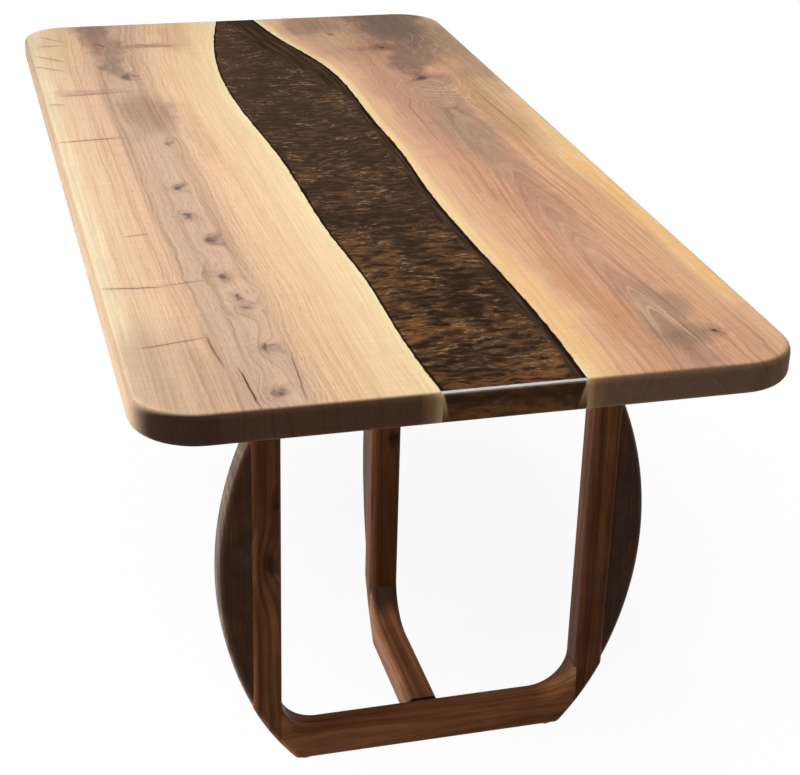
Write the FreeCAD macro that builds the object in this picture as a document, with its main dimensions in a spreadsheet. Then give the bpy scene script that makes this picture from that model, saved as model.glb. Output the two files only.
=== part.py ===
"""Dining table: two walnut slabs joined by a resin river, on two three-legged walnut bases.

Frame: origin on the floor under the middle of the top, +X across the table, +Y along it, +Z up.
Each base is T-shaped in plan: a cross bar between two side legs, and a long bar from its middle to an
inner leg. A leg's own frame has its origin on the floor at the crossing of the bars, with +X outwards
through the leg, so that all six legs are drawn alike.
"""

import FreeCAD, Part
import math
import operator
import os
import Sketcher

Vector = FreeCAD.Vector
UP = Vector(0, 0, 1)

# ---------------------------------------------------------------------------------------------------
# Driving dimensions, in millimetres
# ---------------------------------------------------------------------------------------------------

DIMENSIONS = {
    # table top
    "top_length": 2100,
    "top_width": 1000,
    "top_thickness": 50,
    "top_height": 780,
    "corner_radius": 100,
    "top_round": 12,
    # base, as seen from the end
    "base_inset": 250,
    "side_reach": 255,
    "inner_reach": 299,
    "post_width": 48,
    "cross_depth": 56,
    "long_depth": 52,
    "bar_top": 60,
    "edge_round": 11,
    "turn_round": 14,
    "bend_radius": 67,
    "housing_depth": 2,
    "housing_drop": 10,
    # bow: the arc of the bow board's edge, and the tighter arc of the heel that runs on from it
    "bow_radius": 615,
    "bow_bulge": 54,
    "heel_radius": 450,
    "foot_inset": 73,
    "bow_thickness": 42,
    "bow_round": 12,
    # joint dowels
    "dowel_diameter": 12,
    "dowel_length": 50,
    "dowel_pitch": 26,
    "bow_dowel_diameter": 8,
    "bow_dowel_length": 40,
    "bow_dowel_pitch": 130,
    # glides
    "glide_diameter": 30,
    "glide_height": 7,
    "glide_round": 2,
    "glide_inset": 17,
    "glide_screw_length": 25,
    "glide_screw_depth": 1.5,
    # steel plates on the posts
    "plate_thickness": 5,
    "plate_width": 44,
    "side_plate_length": 150,
    "inner_plate_length": 380,
    "plate_hole_inset": 18,
    "plate_corner": 6,
    "post_screw_pitch": 26,
    "post_screw_length": 50,
    "wood_screw_diameter": 5,
    "wood_screw_head": 9.5,
    # machine screws and their threaded inserts
    "screw_diameter": 6,
    "screw_hole": 6.6,
    "screw_head": 12,
    "screw_head_height": 4,
    "screw_socket": 5,
    "screw_length": 20,
    "insert_diameter": 10,
    "insert_length": 13,
    # steel channels let into the underside
    "channel_length": 720,
    "channel_width": 40,
    "channel_height": 18,
    "channel_wall": 3,
    "channel_hole_inset": 30,
    "channel_hole_pitch": 110,
    # clearance around what is let into the wood
    "recess_clearance": 0.4,
}

# Distance of each live edge from the table's centre line, at evenly spaced stations from the near end
LEFT_BANK = (-70, -78, -76, -87, -89, -90, -102, -110, -103, -77, -36)
RIGHT_BANK = (146, 151, 146, 139, 139, 147, 144, 147, 132, 84, 50)


class Size:
    """A number together with the expression over the sheet that gives it."""

    def __init__(self, number, text):
        self.number = number
        self.text = text

    def joined(self, other, sign, work):
        other = as_size(other)
        return Size(work(self.number, other.number), f"({self.text} {sign} {other.text})")

    def __add__(self, other):
        return self.joined(other, "+", operator.add)

    def __sub__(self, other):
        return self.joined(other, "-", operator.sub)

    def __mul__(self, other):
        return self.joined(other, "*", operator.mul)

    def __truediv__(self, other):
        return self.joined(other, "/", operator.truediv)

    def __neg__(self):
        return as_size(0) - self


def as_size(value):
    return value if isinstance(value, Size) else Size(float(value), str(float(value)))


def root(size):
    return Size(math.sqrt(size.number), f"sqrt({size.text})")


# ---------------------------------------------------------------------------------------------------
# Document and sheet
# ---------------------------------------------------------------------------------------------------

doc = FreeCAD.newDocument("dining_table")
sheet = doc.addObject("Spreadsheet::Sheet", "sizes")
size = {}


def add_size(alias, number):
    cell_row = len(size) + 1
    sheet.set(f"A{cell_row}", alias)
    sheet.set(f"B{cell_row}", str(number))
    sheet.setAlias(f"B{cell_row}", alias)
    size[alias] = Size(float(number), f"sizes.{alias}")


for alias, number in DIMENSIONS.items():
    add_size(alias, number)
for side, bank in (("left", LEFT_BANK), ("right", RIGHT_BANK)):
    for station, offset in enumerate(bank):
        add_size(f"{side}_bank_{station}", offset)
doc.recompute()

# Places worked out from the driving dimensions
underside = size["top_height"] - size["top_thickness"]
end_of_top = size["top_length"] / 2
base_place = end_of_top - size["base_inset"]
half_cross_depth = size["cross_depth"] / 2
half_post = size["post_width"] / 2
half_plate = size["plate_width"] / 2
bow_middle = size["bow_radius"] - size["bow_bulge"]
bow_half = root(size["bow_radius"] * size["bow_radius"] - bow_middle * bow_middle)
heel_share = size["heel_radius"] / size["bow_radius"]
heel_middle = bow_middle * heel_share - size["foot_inset"]
heel_rise = root(size["heel_radius"] * size["heel_radius"] - heel_middle * heel_middle)
heel_level = size["glide_height"] + heel_rise
bow_level = heel_level + bow_half * (as_size(1) - heel_share)
cut_margin = 20.0
tolerance = 0.01


# ---------------------------------------------------------------------------------------------------
# Small tools for sketches, features and booleans
# ---------------------------------------------------------------------------------------------------


def tie(thing, path, value):
    thing.setExpression(path, as_size(value).text)


def put(thing, spot, rotation=FreeCAD.Rotation()):
    """Places a thing at a spot of sizes, which stay tied to the sheet."""
    spot = [as_size(value) for value in spot]
    thing.Placement = FreeCAD.Placement(Vector(*(value.number for value in spot)), rotation)
    for axis, value in zip("xyz", spot):
        tie(thing, f"Placement.Base.{axis}", value)


def new_body(name, spot, rotation=FreeCAD.Rotation()):
    body = doc.addObject("PartDesign::Body", name)
    put(body, spot, rotation)
    return body


def new_sketch(body, name, role):
    plane = next(feature for feature in body.Origin.OriginFeatures if feature.Role == role)
    sketch = body.newObject("Sketcher::SketchObject", name)
    sketch.AttachmentSupport = (plane, [""])
    sketch.MapMode = "FlatFace"
    return sketch


def tie_point(sketch, curve, end, spot):
    """Ties one end of a curve to a spot measured from the sketch's origin."""
    for kind, value in zip(("DistanceX", "DistanceY"), spot):
        index = sketch.addConstraint(Sketcher.Constraint(kind, -1, 1, curve, end, value.number))
        sketch.renameConstraint(index, f"{kind}_{curve}_{end}")
        tie(sketch, f"Constraints.{kind}_{curve}_{end}", value)


def tie_radius(sketch, curve, radius):
    index = sketch.addConstraint(Sketcher.Constraint("Radius", curve, radius.number))
    sketch.renameConstraint(index, f"radius_{curve}")
    tie(sketch, f"Constraints.radius_{curve}", radius)


def draw_arc(sketch, start, end, middle, radius):
    """Adds the shorter arc between two points, and returns its curve with its first and last end."""
    from_angle = math.atan2(start.y - middle.y, start.x - middle.x)
    to_angle = math.atan2(end.y - middle.y, end.x - middle.x)
    circle = Part.Circle(middle, UP, radius.number)
    anticlockwise = (to_angle - from_angle) % (2 * math.pi) < math.pi
    angles = (from_angle, to_angle) if anticlockwise else (to_angle, from_angle)
    curve = sketch.addGeometry(Part.ArcOfCircle(circle, *angles), False)
    tie_radius(sketch, curve, radius)
    return (curve, 1, 2) if anticlockwise else (curve, 2, 1)


def draw_outline(sketch, corners, arcs=None):
    """Closes an outline through its corners with straight lines.

    arcs maps the number of a corner to (centre, radius): the outline leaves that corner on an arc.
    """
    arcs = arcs or {}
    corners = [tuple(as_size(value) for value in corner) for corner in corners]
    spots = [Vector(x.number, y.number, 0) for x, y in corners]
    curves = []
    for number, start in enumerate(spots):
        end = spots[(number + 1) % len(spots)]
        if number in arcs:
            (centre_x, centre_y), radius = arcs[number]
            middle = Vector(centre_x.number, centre_y.number, 0)
            curves.append(draw_arc(sketch, start, end, middle, radius))
        else:
            curves.append((sketch.addGeometry(Part.LineSegment(start, end), False), 1, 2))
    for number, (curve, first, last) in enumerate(curves):
        following, start_of_next, _ = curves[(number + 1) % len(curves)]
        sketch.addConstraint(Sketcher.Constraint("Coincident", curve, last, following, start_of_next))
        tie_point(sketch, curve, first, corners[number])


def draw_hole(sketch, diameter, x, y):
    circle = Part.Circle(Vector(x.number, y.number, 0), UP, diameter.number / 2)
    curve = sketch.addGeometry(circle, False)
    tie_radius(sketch, curve, diameter / 2)
    tie_point(sketch, curve, 3, (x, y))


def rectangle(half_x, half_y):
    return [(-half_x, -half_y), (half_x, -half_y), (half_x, half_y), (-half_x, half_y)]


def symmetric_pad(body, sketch, length):
    pad = body.newObject("PartDesign::Pad", "Pad")
    pad.Profile = sketch
    pad.SideType = "Symmetric"
    tie(pad, "Length", length)
    return pad


def grow_up(body, sketch, kind, length):
    """A Pad or a Pocket that grows along +Z from a sketch on the XY plane."""
    feature = body.newObject(f"PartDesign::{kind}", kind)
    feature.Profile = sketch
    feature.Reversed = kind == "Pocket"
    tie(feature, "Length", length)
    return feature


def edges_where(shape, wanted):
    return [f"Edge{number + 1}" for number, edge in enumerate(shape.Edges) if wanted(edge)]


def is_upright(edge):
    return edge.BoundBox.ZLength > tolerance


def is_crosswise(edge):
    return edge.BoundBox.YLength > tolerance


def round_edges(body, base, radius, wanted):
    doc.recompute()
    fillet = body.newObject("PartDesign::Fillet", "Fillet")
    fillet.Base = (base, edges_where(base.Shape, wanted))
    tie(fillet, "Radius", radius)
    return fillet


def new_cylinder(name, diameter, height, spot=(0, 0, 0), rotation=FreeCAD.Rotation()):
    cylinder = doc.addObject("Part::Cylinder", name)
    tie(cylinder, "Radius", as_size(diameter) / 2)
    tie(cylinder, "Height", height)
    put(cylinder, spot, rotation)
    return cylinder


def new_box(name, low, high, leg):
    """A box between two corners in a leg's frame."""
    box = doc.addObject("Part::Box", name)
    low = [as_size(value) for value in low]
    high = [as_size(value) for value in high]
    for side, start, end in zip(("Length", "Width", "Height"), low, high):
        tie(box, side, end - start)
    put(box, leg.spot(*low), leg.rotation)
    return box


def combine(kind, name, base, tool):
    made = doc.addObject(f"Part::{kind}", name)
    made.Base = base
    made.Tool = tool
    return made


def merge(name, shapes):
    made = doc.addObject("Part::MultiFuse", name)
    made.Shapes = shapes
    return made


def mirror(name, source):
    """The same piece on the other side of the YZ plane."""
    made = doc.addObject("Part::Mirroring", name)
    made.Source = source
    made.Normal = Vector(1, 0, 0)
    return made


nodes = []


def finish(piece, label):
    """Names a finished piece and lists it for export."""
    piece.Label = label
    nodes.append(piece)
    return piece


def scatter(label, pattern, places):
    """A finished group of separate copies of one piece, each at its own placement."""
    doc.recompute()
    copies = []
    for place in places:
        copy = pattern.Shape.copy()
        copy.Placement = place.multiply(copy.Placement)
        copies.append(copy)
    group = doc.addObject("Part::Feature", label)
    group.Shape = Part.makeCompound(copies)
    return finish(group, label)


class Leg:
    """One leg of a base, and the frame that it is drawn in."""

    def __init__(self, side, end):
        inner = side == "inner"
        self.name = f"{side}_{end}"
        self.reach = size["inner_reach"] if inner else size["side_reach"]
        self.outer = self.reach + size["post_width"]
        self.depth = size["long_depth"] if inner else size["cross_depth"]
        self.plate_length = size["inner_plate_length"] if inner else size["side_plate_length"]
        self.start = half_cross_depth if inner else as_size(0)
        self.crossing = -base_place if end == "near" else base_place
        inwards = 1 if end == "near" else -1
        self.direction = {"left": (-1, 0), "right": (1, 0), "inner": (0, inwards)}[side]
        turn = {"left": 180, "right": 0, "inner": 90 * inwards}[side]
        self.rotation = FreeCAD.Rotation(UP, turn)

    def spot(self, x, y, z):
        """A point of the leg's frame as sizes in the table's frame."""
        x, y, z = as_size(x), as_size(y), as_size(z)
        along_x, along_y = self.direction
        return x * along_x - y * along_y, self.crossing + x * along_y + y * along_x, z

    def placement(self, x, y, z, tilt=0.0):
        """The same point with the leg's rotation. tilt lifts the +X end by that many degrees."""
        spot = Vector(*(value.number for value in self.spot(x, y, z)))
        return FreeCAD.Placement(spot, self.rotation.multiply(FreeCAD.Rotation(Vector(0, 1, 0), -tilt)))

    # One arc bounds the bow board, and a tighter one that runs on from it bounds the post's heel.

    def bow_centre(self):
        return self.outer - bow_middle, bow_level

    def heel_centre(self):
        return self.outer - bow_middle * heel_share, heel_level

    def heel_height(self, x):
        across = x - self.heel_centre()[0]
        return heel_level - root(size["heel_radius"] * size["heel_radius"] - across * across)

    def flat_end(self):
        """Where the heel meets the underside of the bar."""
        return self.outer - size["foot_inset"]

    def bend_centre(self):
        """Centre of the quarter arc between the bar's top and the post's inner face."""
        return self.reach - size["bend_radius"], size["bar_top"] + size["bend_radius"]

    def joint_face(self):
        """Where the bar's end meets the post, a little inside the post's inner face."""
        return self.reach + size["housing_depth"]

    def glide_centre(self):
        return self.flat_end() - size["glide_inset"]

    def post_middle(self):
        return self.reach + half_post

    def plate_holes(self):
        """Distances of the two plate holes from the post's middle plane."""
        half = self.plate_length / 2 - size["plate_hole_inset"]
        return -half, half


# ---------------------------------------------------------------------------------------------------
# Fasteners: one pattern of each, copied where it is used
# ---------------------------------------------------------------------------------------------------


def make_machine_screw():
    """Pan head screw, head below and shank above the face it bears on, with a hexagon socket."""
    head_bottom = (0, 0, -size["screw_head_height"])
    shank = new_cylinder("screw_shank", size["screw_diameter"], size["screw_length"])
    head = new_cylinder("screw_head_disc", size["screw_head"], size["screw_head_height"], head_bottom)
    socket = doc.addObject("Part::Prism", "screw_socket")
    socket.Polygon = 6
    tie(socket, "Circumradius", size["screw_socket"] / 2)
    tie(socket, "Height", size["screw_head_height"] / 2)
    put(socket, head_bottom)
    return combine("Cut", "machine_screw", merge("screw_whole", [shank, head]), socket)


def make_insert():
    outer = new_cylinder("insert_outer", size["insert_diameter"], size["insert_length"])
    bore = new_cylinder("insert_bore", size["screw_diameter"], size["insert_length"])
    return combine("Cut", "threaded_insert", outer, bore)


def make_wood_screw(name, length):
    """Countersunk screw pointing down from its flat head at z = 0."""
    diameter = size["wood_screw_diameter"]
    head = doc.addObject("Part::Cone", f"{name}_head")
    tie(head, "Radius1", diameter / 2)
    tie(head, "Radius2", size["wood_screw_head"] / 2)
    tie(head, "Height", wood_screw_head_height)
    put(head, (0, 0, -wood_screw_head_height))
    shank = new_cylinder(f"{name}_shank", diameter, length, (0, 0, -length))
    return merge(name, [head, shank])


def make_dowel(name, diameter, length):
    """Dowel along +X, centred on the origin."""
    return new_cylinder(name, diameter, length, (-length / 2, 0, 0), FreeCAD.Rotation(UP, Vector(1, 0, 0)))


wood_screw_head_height = (size["wood_screw_head"] - size["wood_screw_diameter"]) / 2
machine_screw = make_machine_screw()
threaded_insert = make_insert()
post_screw = make_wood_screw("post_screw", size["post_screw_length"])
glide_screw = make_wood_screw("glide_screw", size["glide_screw_length"])
joint_dowel = make_dowel("joint_dowel", size["dowel_diameter"], size["dowel_length"])
bow_dowel = make_dowel("bow_dowel", size["bow_dowel_diameter"], size["bow_dowel_length"])


def make_insert_hole(name, spot):
    """Hole for a threaded insert and for the screw's tip beyond it."""
    return new_cylinder(name, size["insert_diameter"], size["screw_length"], spot)


def upright(spots):
    """Placements without any turn at these spots."""
    bases = [Vector(*(value.number for value in spot)) for spot in spots]
    return [FreeCAD.Placement(base, FreeCAD.Rotation()) for base in bases]


# ---------------------------------------------------------------------------------------------------
# Pieces of a base
# ---------------------------------------------------------------------------------------------------


def make_leg_blank(leg):
    """Post and bar of one leg, glued up and rounded over before they are taken apart again."""
    outline = [
        (leg.flat_end(), as_size(size["glide_height"])),
        (leg.outer, leg.heel_height(leg.outer)),
        (leg.outer, underside),
        (leg.reach, underside),
        (leg.reach, leg.bend_centre()[1]),
        (leg.bend_centre()[0], size["bar_top"]),
        (leg.start, size["bar_top"]),
        (leg.start, size["glide_height"]),
    ]
    heel = (leg.heel_centre(), size["heel_radius"])
    bend = (leg.bend_centre(), size["bend_radius"])
    body = new_body(f"blank_{leg.name}", leg.spot(0, 0, 0), leg.rotation)
    profile = new_sketch(body, "profile", "XZ_Plane")
    draw_outline(profile, outline, {0: heel, 4: bend})
    pad = symmetric_pad(body, profile, leg.depth)

    def at_turn(edge):
        """The heel's two corners: where it leaves the floor and where it meets the post."""
        box = edge.BoundBox
        gaps = [math.hypot(box.XMin - x.number, box.ZMin - z.number) for x, z in outline[:2]]
        return is_crosswise(edge) and min(gaps) < tolerance

    def is_long(edge):
        box = edge.BoundBox
        at_top = box.ZMin > underside.number - tolerance
        at_start = box.XMax < leg.start.number + tolerance
        between_sides = abs(box.YMin) < leg.depth.number / 2 - tolerance or is_crosswise(edge)
        return not (between_sides or at_top or at_start)

    turned = round_edges(body, pad, size["turn_round"], at_turn)
    round_edges(body, turned, size["edge_round"], is_long)
    return body


def make_bow(leg):
    """D-shaped board on the post's outer face, with its curved edge rounded on both sides."""
    body = new_body(f"bow_blank_{leg.name}", leg.spot(0, 0, 0), leg.rotation)
    profile = new_sketch(body, "profile", "XZ_Plane")
    tips = [(leg.outer, bow_level - bow_half), (leg.outer, bow_level + bow_half)]
    draw_outline(profile, tips, {0: (leg.bow_centre(), size["bow_radius"])})
    pad = symmetric_pad(body, profile, size["bow_thickness"])
    round_edges(body, pad, size["bow_round"], lambda edge: edge.Curve.TypeId == "Part::GeomCircle")
    return body


def make_plate(leg):
    """Steel plate screwed to the post's top, flush in the underside of the table top."""
    body = new_body(f"plate_blank_{leg.name}", leg.spot(leg.post_middle(), 0, underside), leg.rotation)
    outline = new_sketch(body, "outline", "XY_Plane")
    draw_outline(outline, rectangle(half_plate, leg.plate_length / 2))
    pad = grow_up(body, outline, "Pad", size["plate_thickness"])
    round_edges(body, pad, size["plate_corner"], is_upright)
    holes = new_sketch(body, "holes", "XY_Plane")
    for y in leg.plate_holes():
        draw_hole(holes, size["screw_hole"], as_size(0), y)
    grow_up(body, holes, "Pocket", size["plate_thickness"])
    return body


def make_plate_recess(leg):
    gap = size["recess_clearance"]
    half_length = leg.plate_length / 2 + gap
    low = (leg.post_middle() - half_plate - gap, -half_length, underside - cut_margin)
    high = (leg.post_middle() + half_plate + gap, half_length, underside + size["plate_thickness"])
    return new_box(f"plate_recess_{leg.name}", low, high, leg)


def make_glide(leg):
    """Round disc with a soft lower rim and an open countersink for its screw."""
    centre = leg.spot(leg.glide_centre(), 0, 0)
    disc = new_cylinder(f"glide_disc_{leg.name}", size["glide_diameter"], size["glide_height"], centre)
    doc.recompute()
    soft = doc.addObject("Part::Fillet", f"glide_soft_{leg.name}")
    soft.Base = disc
    radius = size["glide_round"].number
    rims = edges_where(disc.Shape, lambda edge: edge.BoundBox.ZMax < tolerance)
    soft.Edges = [(int(rim.removeprefix("Edge")), radius, radius) for rim in rims]
    depth = size["glide_screw_depth"]
    mouth = new_cylinder(f"glide_mouth_{leg.name}", size["wood_screw_head"], depth, centre)
    return combine("Cut", f"glide_open_{leg.name}", soft, mouth)


def joint_dowel_places(legs):
    """Two dowels rise at 45 degrees through each post joint, and two run level into the cross bar."""
    places = []
    for leg in legs:
        lean = leg.depth.number / size["cross_depth"].number * size["dowel_pitch"].number / 2
        joint_z = (leg.heel_height(leg.joint_face()) + leg.bend_centre()[1]) / 2
        level_z = (size["glide_height"] + size["bar_top"]) / 2
        for y in (-lean, lean):
            places.append(leg.placement(leg.joint_face(), y, joint_z, tilt=45.0))
            if leg.start.number > 0:
                places.append(leg.placement(leg.start, y, level_z))
    return places


def bow_dowel_places(legs):
    heights = [bow_level + size["bow_dowel_pitch"] * step for step in (-1, 0, 1)]
    return [leg.placement(leg.outer, 0, height) for leg in legs for height in heights]


def post_screw_places(legs):
    half = size["post_screw_pitch"] / 2
    level = underside + size["plate_thickness"]
    return [leg.placement(leg.post_middle(), y, level) for leg in legs for y in (-half, half)]


def glide_screw_places(legs):
    upside_down = FreeCAD.Placement(Vector(), FreeCAD.Rotation(Vector(1, 0, 0), 180))
    heads = [leg.placement(leg.glide_centre(), 0, size["glide_screw_depth"]) for leg in legs]
    return [head.multiply(upside_down) for head in heads]


def plate_hole_spots(legs, level):
    return [leg.spot(leg.post_middle(), y, level) for leg in legs for y in leg.plate_holes()]


def saw(leg):
    """Takes a leg apart into its bar and its post, whose face houses the bar's end.

    The housing stops short of the bend's upper end, so that the bar doesn't run out to a feather edge.
    """
    blank = make_leg_blank(leg)
    low = (leg.start - cut_margin, -leg.depth, -cut_margin)
    high = (leg.joint_face(), leg.depth, leg.bend_centre()[1] - size["housing_drop"])
    zone = new_box(f"bar_zone_{leg.name}", low, high, leg)
    bar = combine("Common", f"sawn_bar_{leg.name}", blank, zone)
    return bar, combine("Cut", f"sawn_post_{leg.name}", blank, zone)


def drill(label, blank, tools):
    for tool in tools:
        blank = combine("Cut", f"{label}_less_{tool.Name}", blank, tool)
    finish(blank, label)


def make_base(end):
    """All pieces of one base, with the cuts that it needs in the table top."""
    left, right, inner = legs = [Leg(side, end) for side in ("left", "right", "inner")]
    dowels = scatter(f"joint_dowels_{end}", joint_dowel, joint_dowel_places(legs))
    pins = scatter(f"bow_dowels_{end}", bow_dowel, bow_dowel_places(legs))
    down_screws = scatter(f"post_screws_{end}", post_screw, post_screw_places(legs))
    up_screws = scatter(f"glide_screws_{end}", glide_screw, glide_screw_places(legs))

    half_bar, right_post = saw(right)
    long_bar, inner_post = saw(inner)
    left_post = mirror(f"sawn_post_{left.name}", right_post)
    cross_bar = combine("Fuse", f"whole_bar_{end}", half_bar, mirror(f"other_half_bar_{end}", half_bar))
    cross_bar.Refine = True
    drill(f"cross_bar_{end}", cross_bar, (dowels, up_screws))
    drill(f"long_bar_{end}", long_bar, (dowels, up_screws))
    for leg, post in ((left, left_post), (right, right_post), (inner, inner_post)):
        drill(f"post_{leg.name}", post, (dowels, pins, down_screws))
        drill(f"bow_{leg.name}", make_bow(leg), (pins,))
        drill(f"plate_{leg.name}", make_plate(leg), (down_screws,))
        drill(f"glide_{leg.name}", make_glide(leg), (up_screws,))

    screw_spots = plate_hole_spots(legs, underside)
    insert_spots = plate_hole_spots(legs, underside + size["plate_thickness"])
    scatter(f"plate_screws_{end}", machine_screw, upright(screw_spots))
    scatter(f"plate_inserts_{end}", threaded_insert, upright(insert_spots))
    holes = [make_insert_hole(f"plate_insert_hole_{end}", spot) for spot in insert_spots]
    return holes + [make_plate_recess(leg) for leg in legs]


# ---------------------------------------------------------------------------------------------------
# Table top
# ---------------------------------------------------------------------------------------------------


def make_top_blank():
    body = new_body("top_blank", (0, 0, underside))
    outline = new_sketch(body, "outline", "XY_Plane")
    draw_outline(outline, rectangle(size["top_width"] / 2, end_of_top))
    pad = grow_up(body, outline, "Pad", size["top_thickness"])
    corners = round_edges(body, pad, size["corner_radius"], is_upright)
    round_edges(body, corners, size["top_round"], lambda edge: edge.BoundBox.ZLength < tolerance)
    return body


def bank_curve(side, bank, level):
    """A live edge as one smooth curve through its stations, running past both ends of the top."""
    step = size["top_length"].number / (len(bank) - 1)
    points = [
        Vector(size[f"{side}_bank_{station}"].number, -end_of_top.number + station * step, level)
        for station in range(len(bank))
    ]
    before = points[0] * 2 - points[1]
    after = points[-1] * 2 - points[-2]
    curve = Part.BSplineCurve()
    curve.interpolate([before] + points + [after])
    return curve.toShape()


def make_prism(name, left_edge, right_edge):
    """Everything between two edges that run along the top, as an upright prism taller than the top."""
    left_ends = [left_edge.valueAt(at) for at in left_edge.ParameterRange]
    right_ends = [right_edge.valueAt(at) for at in right_edge.ParameterRange]
    near = Part.makeLine(left_ends[0], right_ends[0])
    far = Part.makeLine(left_ends[1], right_ends[1])
    face = Part.Face(Part.Wire(Part.__sortEdges__([left_edge, far, right_edge, near])))
    prism = doc.addObject("Part::Feature", name)
    prism.Shape = face.extrude(UP * (size["top_thickness"].number + 2 * cut_margin))
    return prism


def channel_section(gap, height):
    """Section of the steel channel, or with a gap the groove that it sits in."""
    half = size["channel_width"] / 2 + gap
    inside = size["channel_width"] / 2 - size["channel_wall"] - gap
    wall = size["channel_wall"]
    low = -gap
    return [
        (-half, low), (half, low), (half, height), (inside, height),
        (inside, wall), (-inside, wall), (-inside, height), (-half, height),
    ]


def channel_body(name, place_y, gap, height):
    body = new_body(name, (0, place_y, underside))
    section = new_sketch(body, "section", "YZ_Plane")
    draw_outline(section, channel_section(gap, height))
    symmetric_pad(body, section, size["channel_length"] + gap * 2)
    return body


def channel_hole_offsets():
    """Two holes near each end of the channel, clear of the river."""
    outer = size["channel_length"] / 2 - size["channel_hole_inset"]
    inner = outer - size["channel_hole_pitch"]
    return -outer, -inner, inner, outer


def make_channel(name, place_y):
    """Steel channel, web down and flush with the underside, with screw holes through its web."""
    blank = channel_body(f"{name}_blank", place_y, as_size(0), size["channel_height"])
    holes = [
        new_cylinder(f"{name}_hole", size["screw_hole"], size["channel_wall"], (x, place_y, underside))
        for x in channel_hole_offsets()
    ]
    finish(combine("Cut", name, blank, merge(f"{name}_holes", holes)), name)


def make_channels():
    """The three steel channels with their screws and inserts. Returns the cuts that they need."""
    side_plate_end = size["side_plate_length"] / 2
    inner_plate_edge = size["inner_reach"] + half_post - half_plate
    from_crossing = (side_plate_end + inner_plate_edge) / 2
    near = from_crossing - base_place
    places = {"stiffener_near": near, "stiffener_middle": as_size(0), "stiffener_far": -near}
    gap = size["recess_clearance"]
    groove_height = size["channel_height"] + gap
    above_web = underside + size["channel_wall"]
    cuts = []
    screw_spots = []
    insert_spots = []
    for name, place_y in places.items():
        make_channel(name, place_y)
        cuts.append(channel_body(f"{name}_groove", place_y, gap, groove_height))
        screw_spots += [(x, place_y, underside) for x in channel_hole_offsets()]
        insert_spots += [(x, place_y, above_web) for x in channel_hole_offsets()]
    scatter("stiffener_screws", machine_screw, upright(screw_spots))
    scatter("stiffener_inserts", threaded_insert, upright(insert_spots))
    return cuts + [make_insert_hole("channel_insert_hole", spot) for spot in insert_spots]


def make_top(cuts):
    """Two slabs and the river between them, sawn from one blank along the live edges."""
    underside_cuts = merge("underside_cuts", cuts)
    blank = make_top_blank()
    level = underside.number - cut_margin
    left_bank = bank_curve("left", LEFT_BANK, level)
    right_bank = bank_curve("right", RIGHT_BANK, level)
    half_width = size["top_width"].number / 2 + cut_margin
    past_end = size["top_length"].number
    left_side, right_side = (
        Part.makeLine(Vector(x, -past_end, level), Vector(x, past_end, level))
        for x in (-half_width, half_width)
    )
    regions = {
        "slab_left": (left_side, left_bank),
        "resin_river": (left_bank, right_bank),
        "slab_right": (right_bank, right_side),
    }
    for name, (left_edge, right_edge) in regions.items():
        prism = make_prism(f"{name}_prism", left_edge, right_edge)
        piece = combine("Common", f"{name}_sawn", blank, prism)
        finish(combine("Cut", name, piece, underside_cuts), name)


# ---------------------------------------------------------------------------------------------------
# Build, check and export
# ---------------------------------------------------------------------------------------------------

make_top(make_base("near") + make_base("far") + make_channels())
doc.recompute()

for thing in doc.Objects:
    if "Invalid" in thing.State or "Error" in thing.State:
        raise RuntimeError(f"{thing.Label} failed: {thing.State}")
for piece in nodes:
    if piece.Shape.isNull() or not piece.Shape.isValid() or not piece.Shape.Solids:
        raise RuntimeError(f"{piece.Label} has no valid solid")

os.makedirs("parts", exist_ok=True)
for piece in nodes:
    solids = piece.Shape.Solids
    kept = solids[0] if len(solids) == 1 else Part.makeCompound(solids)
    kept.exportStep(f"parts/{piece.Label}.step")
    print(f"{piece.Label}: {len(solids)} solids, {kept.Volume / 1000:.1f} cm3")
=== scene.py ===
# %% [markdown]
# # A river table, dressed in Blender
#
# The table is already built as solid pieces: two walnut slabs, the resin river between them and two
# walnut bases. This lesson gives those pieces their wood, resin and metal, lights them and sets the
# camera. Nothing is moved: a piece stays exactly where the solid model has it.

# %% Load the frame
import math

import bmesh
import bpy
import numpy as np
from mathutils import Matrix, Vector


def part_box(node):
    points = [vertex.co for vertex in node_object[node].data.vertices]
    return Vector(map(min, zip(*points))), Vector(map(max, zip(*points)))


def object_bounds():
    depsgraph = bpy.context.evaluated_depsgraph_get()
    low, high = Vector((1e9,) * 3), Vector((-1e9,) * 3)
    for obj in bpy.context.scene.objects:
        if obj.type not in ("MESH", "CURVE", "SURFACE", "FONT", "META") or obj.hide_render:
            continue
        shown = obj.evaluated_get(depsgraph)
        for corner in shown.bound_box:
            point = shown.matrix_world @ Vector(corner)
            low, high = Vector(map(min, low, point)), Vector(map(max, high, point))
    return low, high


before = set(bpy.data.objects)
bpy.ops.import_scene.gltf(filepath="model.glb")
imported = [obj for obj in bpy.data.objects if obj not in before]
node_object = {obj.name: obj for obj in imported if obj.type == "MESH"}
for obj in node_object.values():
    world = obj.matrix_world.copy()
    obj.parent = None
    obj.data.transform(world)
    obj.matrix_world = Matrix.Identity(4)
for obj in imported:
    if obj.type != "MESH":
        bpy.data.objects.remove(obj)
cad_low, cad_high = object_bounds()
print("pieces in the frame:", len(node_object))
print("table size:", [round(value, 3) for value in cad_high - cad_low])

# %% [markdown]
# ## Where things are
#
# Every size that the dressing needs is read from the frame: the top of the table, its thickness, and
# the two live edges. A live edge isn't a straight line, so it is measured at even steps along the
# table. Later a Float Curve node turns those steps back into a smooth line inside the materials.

# %% Measure the top and the live edges
top_level = cad_high.z
half_length = cad_high.y
half_width = cad_high.x
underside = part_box("slab_left")[0].z
BANK_STEPS = 43
LOW_BAND = 0.02


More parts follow.
